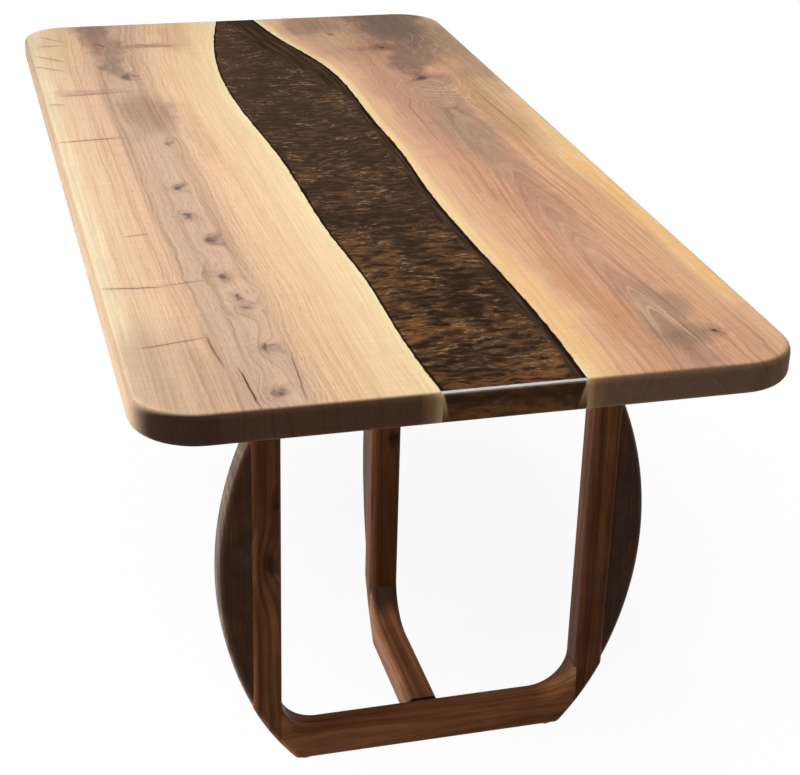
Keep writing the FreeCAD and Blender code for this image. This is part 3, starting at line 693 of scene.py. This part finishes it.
def draw_powder(resin, river):
    """Brown folds of powder between dark hollows, with thin bright crests: pale powder and painted sheen."""
    wide, patches, nearness = river["wide"], river["patches"], river["nearness"]
    curled = resin.uneven(resin.uneven(resin.spot, 7.0, 0.050), 26.0, 0.026)
    folds = resin.noise(resin.scaled(curled, (28.0, 80.0, 80.0)), detail=2.5, roughness=0.55)
    crests = resin.noise(resin.scaled(curled, (26.0, 74.0, 70.0)), detail=2.0, roughness=0.5)
    flecks = resin.noise(resin.scaled(curled, (60.0, 170.0, 160.0)), detail=2.0)

    tone = folds + (patches - 0.5) * 0.30 + (flecks - 0.5) * 0.10 + nearness * 0.055 - 0.02
    tone = tone + (wide - 0.5) * (nearness * 0.26 + 0.26)
    tint = resin.ramp(tone, HOLLOW_TO_FOLD)
    left_side = resin.stretch(river["from_left"], 0.01, 0.09, 0.42, 0.0)
    tint = resin.mix(left_side * resin.stretch(river["y"], 0.25, 0.65), tint, BROWN_SIDE_TINT)
    gold = resin.stretch(wide, 0.44, 0.62) * resin.stretch(tone, 0.48, 0.62) * (nearness * 0.30 + 0.06)
    tint = resin.mix(gold, tint, GOLD_TINT)
    # The powder is painted greyer towards the far end: a painted reflection of the room at a grazing view.
    tint = resin.mix((1.0 - nearness) * 0.50 + 0.10, tint, FAR_REFLECTION_TINT)
    crest_sheen = resin.stretch(abs(crests - 0.5), 0.0, 0.055, 1.0, 0.0) * resin.stretch(tone, 0.42, 0.58)
    crest_sheen = crest_sheen * resin.stretch(flecks, 0.40, 0.62) * resin.stretch(patches, 0.40, 0.60, 0.15, 1.0)
    return resin.mix(crest_sheen * (0.55 - nearness * 0.13), tint, CREST_SHEEN_TINT)


# %% Clear the resin over the sloping banks
CLEAR_RESIN = {0.35: colour(46, 35, 26), 0.52: colour(64, 50, 38), 0.70: colour(90, 71, 54)}
SHORE_TINT = colour(30, 21, 16)


def clear_banks(resin, river, tint):
    """No powder lies over the banks: a wide clear bay at the far right, and a thin line on the left."""
    wide, patches, from_right = river["wide"] - 0.5, river["patches"] - 0.5, river["from_right"]
    bay = resin.stretch(river["y"], 0.30, 0.72, 0.027, 0.095)
    clear = resin.stretch(from_right + wide * 0.04 + patches * 0.02, bay * 0.55, bay, 1.0, 0.0)
    streaky = resin.noise(resin.point(from_right * 190.0, river["y"] * 7.0), detail=3.0)
    tint = resin.mix(clear * 0.94, tint, resin.ramp(streaky, CLEAR_RESIN))
    shore = resin.math("MINIMUM", from_right, river["from_left"] * 1.5)
    shoreline = resin.stretch(shore + patches * 0.010, 0.0030, 0.0085, 1.0, 0.0)
    return resin.mix(shoreline * 0.92, tint, SHORE_TINT)


# %% Draw the river's cut ends
END_POWDER_TINT = colour(112, 76, 50)
END_CLEAR_TINT = colour(52, 36, 26)
BANK_TOP_TINT = colour(176, 142, 98)
BANK_FOOT_TINT = colour(96, 68, 44)
RIGHT_SLOPE = 0.32
LEFT_SLOPE = 0.22
SLOPE_EDGE = 0.003


def cut_ends(resin, river, tint, end_face):
    """At the ends the banks are seen from the side: the wood slopes in under the resin."""
    down = river["down"]
    right_bank = resin.stretch(river["from_right"] - down * RIGHT_SLOPE, 0.0, SLOPE_EDGE, 1.0, 0.0)
    left_bank = resin.stretch(river["from_left"] - down * LEFT_SLOPE, 0.0, SLOPE_EDGE, 1.0, 0.0)
    bank_wood = resin.mix(resin.stretch(down, 0.010, 0.045), BANK_TOP_TINT, BANK_FOOT_TINT)
    tint = resin.mix(resin.stretch(end_face, 0.3, 0.9, 0.0, 0.34), tint, END_POWDER_TINT)
    clear_top = resin.stretch(down + (river["patches"] - 0.5) * 0.020, 0.012, 0.026, 0.65, 0.0)
    tint = resin.mix(clear_top * resin.stretch(end_face, 0.3, 0.9), tint, END_CLEAR_TINT)
    bank = resin.math("MAXIMUM", right_bank, left_bank)
    return resin.mix(bank * resin.stretch(end_face, 0.3, 0.7), tint, bank_wood)


# %% Put the resin together
def river_resin():
    """Only the rounded rim is polished, as a bright line: the flat top would mirror the white room."""
    resin = Recipe("river_resin")
    river = measure_river(resin)
    _, end_face, upward = resin.facing()
    tint = clear_banks(resin, river, draw_powder(resin, river))
    tint = cut_ends(resin, river, tint, end_face)
    polish = resin.stretch(upward, 0.998, 0.96) * resin.stretch(upward, 0.62, 0.86)
    return resin.finish(
        Base_Color=tint, Roughness=0.10, Specular_IOR_Level=0.0,
        Coat_Weight=polish, Coat_Roughness=0.08, Coat_IOR=2.2,
    )


dress(["resin_river"], river_resin())

# %% [markdown]
# ## Walnut of the bases
#
# The bases are straight-grained walnut, so the rings are nearly parallel to each member. One recipe
# serves every member: it is told which way the fibres run. Where a face cuts across the fibres, as in
# the bends and on the heels, the wood is end grain and turns dark and dull. A few knots sit in the posts.

# %% Describe the base woods
POST_KNOTS = [
    ((-0.274, -0.828, 0.395), 0.016), ((-0.262, -0.828, 0.500), 0.008), ((0.288, 0.800, 0.450), 0.014),
    ((0.010, -0.501, 0.420), 0.012), ((-0.303, 0.790, 0.300), 0.012), ((0.014, 0.347, 0.520), 0.012),
]
WALNUT = {
    0.22: colour(58, 32, 16), 0.42: colour(83, 49, 27), 0.58: colour(104, 65, 38), 0.78: colour(142, 96, 60),
}
# The cross bars take a lighter copy of the posts' walnut: painted light.
LIT_BAR_WALNUT = {
    0.22: colour(90, 55, 33), 0.42: colour(128, 82, 52), 0.58: colour(154, 103, 69),
    0.78: colour(184, 134, 97),
}
# The long bars take a still lighter copy, all over: painted light from above.
TOP_LIT_WALNUT = {
    0.22: colour(96, 60, 38), 0.42: colour(138, 92, 62), 0.58: colour(162, 112, 80),
    0.78: colour(190, 140, 102),
}
BEECH = {0.25: colour(176, 138, 98), 0.50: colour(196, 158, 116), 0.75: colour(212, 178, 136)}
END_GRAIN_TINT = colour(66, 50, 42)
KNOT_TINT = colour(38, 26, 18)
MEMBER_PORES_PER_METRE = (700.0, 700.0, 24.0)


# %% Draw straight-grained wood
def base_wood(name, along, shades, knots=(), end_darkness=0.45):
    """Wood whose fibres run along one axis. shades go from its dark bands to its pale ones."""
    def by_axis(lengthwise, sideways):
        """One number for the axis that the fibres follow, another for the two across them."""
        return tuple(lengthwise if axis == along else sideways for axis in "xyz")

    wood = Recipe(name)
    axes = dict(zip("xyz", wood.place()))
    faces = dict(zip("xyz", wood.facing()))
    length = axes.pop(along)
    first, second = axes.values()
    spot = wood.spot
    wander = wood.noise(wood.scaled(spot, by_axis(1.3, 7.0)), detail=3.0) - 0.5
    rings = first * 0.85 + second * 0.45 + wander * 0.045
    for centre, size in knots:
        rings = rings + wood.hump(spot, centre, by_axis(size * 3.6, size * 1.7)) * size * 1.3
    bands = wood.noise(wood.point(rings * 70.0, length * 0.8), detail=3.0, roughness=0.6)
    lines = wood.noise(wood.point(rings * 330.0, length * 3.0), detail=3.0, roughness=0.7)
    pores = wood.noise(wood.scaled(wood.point(first, second, length), MEMBER_PORES_PER_METRE), detail=1.0)
    mottle = wood.noise(spot, 30.0, detail=3.0)
    broad = wood.noise(wood.scaled(spot, by_axis(2.6, 11.0)))

    tint = wood.ramp(bands + (mottle - 0.5) * 0.12 + (broad - 0.5) * 0.35, shades)
    light = wood.stretch(lines, 0.31, 0.69, 0.68, 1.17) * wood.stretch(pores, 0.24, 0.40, 0.74, 1.0)
    tint = wood.shade(tint, light * wood.stretch(broad, 0.34, 0.66, 0.86, 1.16))
    if knots:
        ragged = wood.uneven(spot, 60.0, 0.014)
        cores = [wood.hump(ragged, centre, by_axis(size * 1.5, size * 0.8)) for centre, size in knots]
        tint = wood.mix(wood.stretch(wood.total(cores), 0.12, 0.85, 0.0, 0.88), tint, KNOT_TINT)
    cut = wood.stretch(faces[along] + (lines - 0.5) * 0.15, 0.40, 0.90, 0.0, end_darkness)
    tint = wood.mix(cut, tint, wood.shade(END_GRAIN_TINT, wood.stretch(mottle, 0.3, 0.7, 0.85, 1.15)))
    rough = wood.stretch(lines, 0.3, 0.7, 0.46, 0.36)
    height = lines * 0.6 + pores * 0.4
    return wood.finish(
        Base_Color=tint, Roughness=rough, Specular_IOR_Level=0.03, Normal=wood.relief(height, 0.00015)
    )


ENDS = ("near", "far")
SIDES = ("left", "right", "inner")
POSTS = [f"post_{side}_{end}" for side in SIDES for end in ENDS]
CROSS_BARS = [f"cross_bar_{end}" for end in ENDS]
LONG_BARS = [f"long_bar_{end}" for end in ENDS]
DOWELS = [f"{kind}_dowels_{end}" for kind in ("joint", "bow") for end in ENDS]
dress(POSTS, base_wood("walnut_posts", "z", WALNUT, POST_KNOTS))
dress(CROSS_BARS, base_wood("walnut_cross_bars", "x", LIT_BAR_WALNUT))
dress(LONG_BARS, base_wood("walnut_long_bars", "y", TOP_LIT_WALNUT, end_darkness=0.88))
dress(DOWELS, base_wood("beech_dowels", "z", BEECH))

# %% [markdown]
# The bow boards are stained nearly black-brown on their flat faces. Their curved edge is painted greyer
# and lighter: a painted highlight, where the rounded edge catches the light. Which faces are flat depends
# on the leg: the boards of the side legs face the table's ends, and those of the inner legs face its sides.

# %% Draw the stained bow boards
STAIN = {0.32: colour(46, 28, 16), 0.50: colour(62, 40, 25), 0.68: colour(80, 55, 36)}
# Greyer, lighter tints for the curved edge: a painted highlight.
RIM_HIGHLIGHT_DARK = colour(84, 69, 58)
RIM_HIGHLIGHT_LIGHT = colour(126, 109, 95)


def bow_wood(name, flat_axis):
    """Stained wood whose fibres run upwards. flat_axis is the one that the board's flat faces point along."""
    wood = Recipe(name)
    x, y, z = wood.place()
    faces = dict(zip("xyz", wood.facing()))
    level = {"x": y, "y": x}[flat_axis]
    wander = wood.noise(wood.scaled(wood.spot, (9.0, 9.0, 2.0)), detail=3.0) - 0.5
    lines = wood.noise(wood.point((level + wander * 0.05) * 260.0, z * 3.0), detail=3.0, roughness=0.65)
    pores = wood.noise(wood.scaled(wood.spot, MEMBER_PORES_PER_METRE), detail=1.0)
    mottle = wood.noise(wood.spot, 26.0, detail=4.0, roughness=0.6)
    tint = wood.ramp(lines * 0.5 + mottle * 0.5, STAIN)
    tint = wood.shade(tint, wood.stretch(pores, 0.24, 0.40, 0.8, 1.0))
    # The curved edge is painted greyer and lighter than the stain: a painted highlight.
    edge = wood.stretch(faces[flat_axis], 0.93, 0.45, 0.0, 0.85)
    tint = wood.mix(edge, tint, wood.mix(wood.stretch(lines, 0.3, 0.7), RIM_HIGHLIGHT_DARK, RIM_HIGHLIGHT_LIGHT))
    return wood.finish(
        Base_Color=tint, Roughness=0.42, Specular_IOR_Level=0.06, Normal=wood.relief(lines, 0.00015)
    )


SIDE_BOWS = [f"bow_{side}_{end}" for side in ("left", "right") for end in ENDS]
INNER_BOWS = [f"bow_inner_{end}" for end in ENDS]
dress(SIDE_BOWS, bow_wood("stained_side_bows", "y"))
dress(INNER_BOWS, bow_wood("stained_inner_bows", "x"))

# %% [markdown]
# ## Steel, brass and nylon
#
# The hardware is small and hidden, so one short recipe serves all of it: a tint and a roughness that
# vary together in fine clouds. Its numbers give each finish its own look. Powder coat and nylon are dull
# with a fine texture, zinc plating is grey and cloudy, and turned brass is warm and smoother.


# %% Draw the hardware's finishes
def small_finish(name, dark, light, scale, roughness, metallic, depth, gloss=0.5):
    """A finish with clouds: scale is how many in a metre, and depth how deep they are in the relief."""
    finish = Recipe(name)
    finish.place()
    cloud = finish.noise(finish.spot, scale=scale, detail=3.0, roughness=0.6)
    tint = finish.mix(finish.stretch(cloud, 0.3, 0.7), dark, light)
    rough = finish.stretch(cloud, 0.3, 0.7, roughness * 0.85, roughness * 1.15)
    return finish.finish(
        Base_Color=tint, Roughness=rough, Metallic=metallic, Specular_IOR_Level=gloss,
        Normal=finish.relief(cloud, depth),
    )


PLATES = [f"plate_{side}_{end}" for side in SIDES for end in ENDS]
CHANNELS = ["stiffener_near", "stiffener_middle", "stiffener_far"]
SCREWS = [f"{kind}_screws_{end}" for kind in ("plate", "post", "glide") for end in ENDS]
SCREWS.append("stiffener_screws")
INSERTS = [f"plate_inserts_{end}" for end in ENDS] + ["stiffener_inserts"]
GLIDES = [f"glide_{side}_{end}" for side in SIDES for end in ENDS]
dress(PLATES + CHANNELS, small_finish(
    "powder_coat", colour(30, 30, 31), colour(42, 42, 43),
    scale=900.0, roughness=0.5, metallic=0.0, depth=0.0001, gloss=0.12,
))
dress(SCREWS, small_finish(
    "zinc_plate", colour(150, 150, 146), colour(186, 186, 180),
    scale=300.0, roughness=0.35, metallic=1.0, depth=0.00003,
))
dress(INSERTS, small_finish(
    "turned_brass", colour(176, 140, 72), colour(206, 172, 100),
    scale=400.0, roughness=0.3, metallic=1.0, depth=0.00003,
))
dress(GLIDES, small_finish(
    "black_nylon", colour(16, 16, 15), colour(28, 27, 26),
    scale=500.0, roughness=0.55, metallic=0.0, depth=0.0001, gloss=0.08,
))

# %% [markdown]
# ## The studio
#
# A white paper floor runs out under the table. The camera and reflections see it as white, except
# around the table, where a little of the light that really falls on it is mixed in, so that a soft
# shadow stays. There are three soft lamps: a large one overhead, a narrow strip over the near end, and one
# low on the left, which reaches under the top.

# %% Paint what the camera sees white
WHITE_RAYS = ("Camera", "Glossy", "Transmission")


def background_rays(recipe):
    """1 for the rays that see a background, whether straight, in a reflection or through glass."""
    path = recipe.nodes.new("ShaderNodeLightPath")
    camera, glossy, transmission = [Field(recipe, path.outputs[f"Is {kind} Ray"]) for kind in WHITE_RAYS]
    return recipe.math("MAXIMUM", recipe.math("MAXIMUM", camera, glossy), transmission)


# %% Lay the floor
FLOOR_REACH = 60.0
SHADOW_CENTRE = (0.35, -0.1, 0.0)
SHADOW_SPREAD = (0.60, 0.75, ENDLESS)
SHADOW_SHARE = 0.09


def make_floor():
    mesh = bpy.data.meshes.new("studio_floor")
    shape = bmesh.new()
    bmesh.ops.create_grid(shape, x_segments=1, y_segments=1, size=FLOOR_REACH)
    shape.to_mesh(mesh)
    shape.free()
    floor = bpy.data.objects.new("studio_floor", mesh)
    bpy.context.collection.objects.link(floor)
    paper = Recipe("white_paper")
    paper.place()
    shadow = paper.hump(paper.spot, SHADOW_CENTRE, SHADOW_SPREAD) * SHADOW_SHARE
    paper.finish(Base_Color=colour(238, 238, 238), Roughness=0.9, Specular_IOR_Level=0.0)
    glow = paper.nodes.new("ShaderNodeEmission")
    blend = paper.nodes.new("ShaderNodeMixShader")
    paper.feed(blend.inputs[0], background_rays(paper) * (1.0 - shadow))
    paper.links.new(paper.surface.outputs[0], blend.inputs[1])
    paper.links.new(glow.outputs[0], blend.inputs[2])
    paper.links.new(blend.outputs[0], paper.nodes["Material Output"].inputs["Surface"])
    mesh.materials.append(paper.material)
    print("floor laid")


make_floor()


# %% Hang the lamps
def soft_lamp(name, place, target, width, height, power):
    """A glowing rectangle that faces a target. Sizes are in metres and power is in watts."""
    lamp = bpy.data.lights.new(name, "AREA")
    lamp.shape = "RECTANGLE"
    lamp.size = width
    lamp.size_y = height
    lamp.energy = power
    holder = bpy.data.objects.new(name, lamp)
    bpy.context.collection.objects.link(holder)
    holder.location = place
    holder.rotation_euler = (Vector(target) - Vector(place)).to_track_quat("-Z", "Y").to_euler()
    print(f"{name}: {power} W")


soft_lamp("overhead_lamp", (-0.2, 0.0, 3.6), (0.0, 0.0, top_level), width=2.6, height=3.2, power=66.0)
soft_lamp("strip_lamp", (0.5, -0.9, 3.6), (0.0, -0.9, top_level), width=3.4, height=0.16, power=26.0)
soft_lamp("left_lamp", (-3.4, -0.9, 0.6), (0.0, -0.6, 0.4), width=1.4, height=1.0, power=110.0)

# %% Light the room
ROOM_TINT = (1.0, 0.98, 0.95, 1.0)
ROOM_STRENGTH = 0.20
WHITE = (1.0, 1.0, 1.0, 1.0)


def light_room():
    world = bpy.data.worlds.new("studio")
    bpy.context.scene.world = world
    world.use_nodes = True
    tree = world.node_tree
    room_light = tree.nodes["Background"]
    room_light.inputs["Color"].default_value = ROOM_TINT
    room_light.inputs["Strength"].default_value = ROOM_STRENGTH
    seen_white = tree.nodes.new("ShaderNodeBackground")
    seen_white.inputs["Color"].default_value = WHITE
    path = tree.nodes.new("ShaderNodeLightPath")
    previous = room_light
    for kind in WHITE_RAYS:
        choose = tree.nodes.new("ShaderNodeMixShader")
        tree.links.new(path.outputs[f"Is {kind} Ray"], choose.inputs[0])
        tree.links.new(previous.outputs[0], choose.inputs[1])
        tree.links.new(seen_white.outputs[0], choose.inputs[2])
        previous = choose
    tree.links.new(previous.outputs[0], tree.nodes["World Output"].inputs["Surface"])
    print("room lit")


light_room()

# %% [markdown]
# ## The camera
#
# The camera stands about two metres off the near end, left of the middle and a little above head height,
# and looks down along the table through a long lens, which keeps the far end from shrinking too much.

# %% Set the camera
CAMERA_PLACE = (-0.7266, -3.1797, 1.8664)
CAMERA_TURN = math.radians(15.575)
CAMERA_TILT = math.radians(25.826)
CAMERA_ROLL = math.radians(1.614)
CAMERA_LENS = 79.95

camera = bpy.data.cameras.new("camera")
camera.lens = CAMERA_LENS
camera_holder = bpy.data.objects.new("camera", camera)
bpy.context.collection.objects.link(camera_holder)
camera_holder.location = CAMERA_PLACE
turn = Matrix.Rotation(-CAMERA_TURN, 3, "Z")
tilt = Matrix.Rotation(math.radians(90) - CAMERA_TILT, 3, "X")
roll = Matrix.Rotation(CAMERA_ROLL, 3, "Z")
camera_holder.rotation_euler = (turn @ tilt @ roll).to_euler()
bpy.context.scene.camera = camera_holder
bpy.context.scene.view_settings.view_transform = "Standard"
print("camera set")
